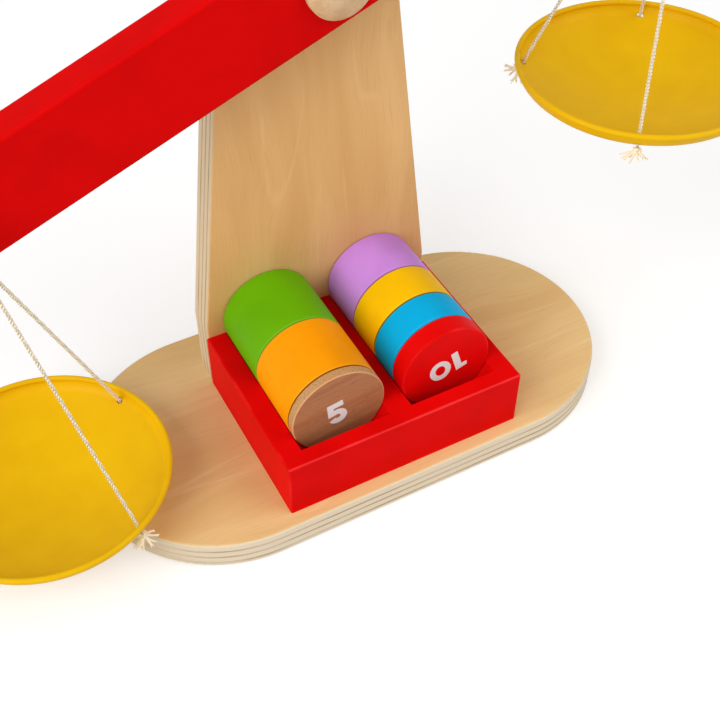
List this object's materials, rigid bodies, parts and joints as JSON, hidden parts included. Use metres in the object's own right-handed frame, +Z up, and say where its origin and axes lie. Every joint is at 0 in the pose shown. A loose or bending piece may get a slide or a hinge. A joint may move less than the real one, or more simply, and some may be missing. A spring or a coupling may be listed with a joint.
{
  "type": "wooden toy balance scale",
  "caption": "Toy balance scale on a plywood base: a tilting beam on a tapered upright carries two pans on strings, with round weights in a tray.",
  "frame": {"origin": "middle of the base board's underside, on the surface that the scale stands on", "axes": "+X along the beam from the lower pan to the raised one, +Y from the weight tray back to the upright, +Z up"},
  "size_m": [0.4104, 0.13, 0.3013],
  "materials": {
    "birch_ply": "clear satin varnish",
    "red_paint": "satin paint",
    "natural_wood": "clear satin varnish",
    "orange_paint": "satin paint",
    "green_paint": "satin paint",
    "blue_paint": "satin paint",
    "yellow_paint": "satin paint",
    "purple_paint": "satin paint",
    "pan_yellow": "satin moulded",
    "cotton": "twisted cotton",
    "screw_steel": "zinc plated"
  },
  "bodies": {
    "stand": {"base_board": "birch_ply", "upright": "birch_ply", "upright_screws": "screw_steel", "tray_screws": "screw_steel", "tray_floor": "red_paint", "tray_left_wall": "red_paint", "tray_divider": "red_paint", "tray_right_wall": "red_paint", "tray_front_board": "red_paint", "pivot_peg": "natural_wood", "pivot_spacer": "natural_wood"},
    "beam": {"beam": "red_paint", "left_hanging_peg": "natural_wood", "right_hanging_peg": "natural_wood"},
    "left_pan": {"left_pan": "pan_yellow", "left_pan_knots": "cotton", "left_hanging_loop": "cotton", "left_string_1": "cotton", "left_string_2": "cotton", "left_string_3": "cotton", "left_string_4": "cotton"},
    "right_pan": {"right_pan": "pan_yellow", "right_pan_knots": "cotton", "right_hanging_loop": "cotton", "right_string_1": "cotton", "right_string_2": "cotton", "right_string_3": "cotton", "right_string_4": "cotton"},
    "natural_weight": {"weight_natural": "natural_wood"},
    "orange_weight": {"weight_orange": "orange_paint"},
    "green_weight": {"weight_green": "green_paint"},
    "red_weight": {"weight_red": "red_paint"},
    "blue_weight": {"weight_blue": "blue_paint"},
    "yellow_weight": {"weight_yellow": "yellow_paint"},
    "purple_weight": {"weight_purple": "purple_paint"}
  },
  "joints": [
    {"name": "beam_tilt", "type": "hinge", "parent": "stand", "child": "beam", "pos_m": [0, 0.01335, 0.2225], "axis": [0, 1, 0], "range_deg": [0, 41.8]},
    {"name": "left_pan_hang", "type": "hinge", "parent": "beam", "child": "left_pan", "pos_m": [-0.14972, 0, 0.16747], "axis": [0, 1, 0], "range_deg": [-41.8, 0]},
    {"name": "right_pan_hang", "type": "hinge", "parent": "beam", "child": "right_pan", "pos_m": [0.14829, 0, 0.28127], "axis": [0, 1, 0], "range_deg": [-41.8, 0]},
    {"name": "natural_weight_lift", "type": "slide", "parent": "stand", "child": "natural_weight", "axis": [0, 0, 1], "range_m": [0, 0.06]},
    {"name": "orange_weight_lift", "type": "slide", "parent": "stand", "child": "orange_weight", "axis": [0, 0, 1], "range_m": [0, 0.06]},
    {"name": "green_weight_lift", "type": "slide", "parent": "stand", "child": "green_weight", "axis": [0, 0, 1], "range_m": [0, 0.06]},
    {"name": "red_weight_lift", "type": "slide", "parent": "stand", "child": "red_weight", "axis": [0, 0, 1], "range_m": [0, 0.06]},
    {"name": "blue_weight_lift", "type": "slide", "parent": "stand", "child": "blue_weight", "axis": [0, 0, 1], "range_m": [0, 0.06]},
    {"name": "yellow_weight_lift", "type": "slide", "parent": "stand", "child": "yellow_weight", "axis": [0, 0, 1], "range_m": [0, 0.06]},
    {"name": "purple_weight_lift", "type": "slide", "parent": "stand", "child": "purple_weight", "axis": [0, 0, 1], "range_m": [0, 0.06]}
  ],
  "couplings": [
    {"joint": "left_pan_hang", "follows": "beam_tilt", "ratio": -1},
    {"joint": "right_pan_hang", "follows": "beam_tilt", "ratio": -1}
  ]
}
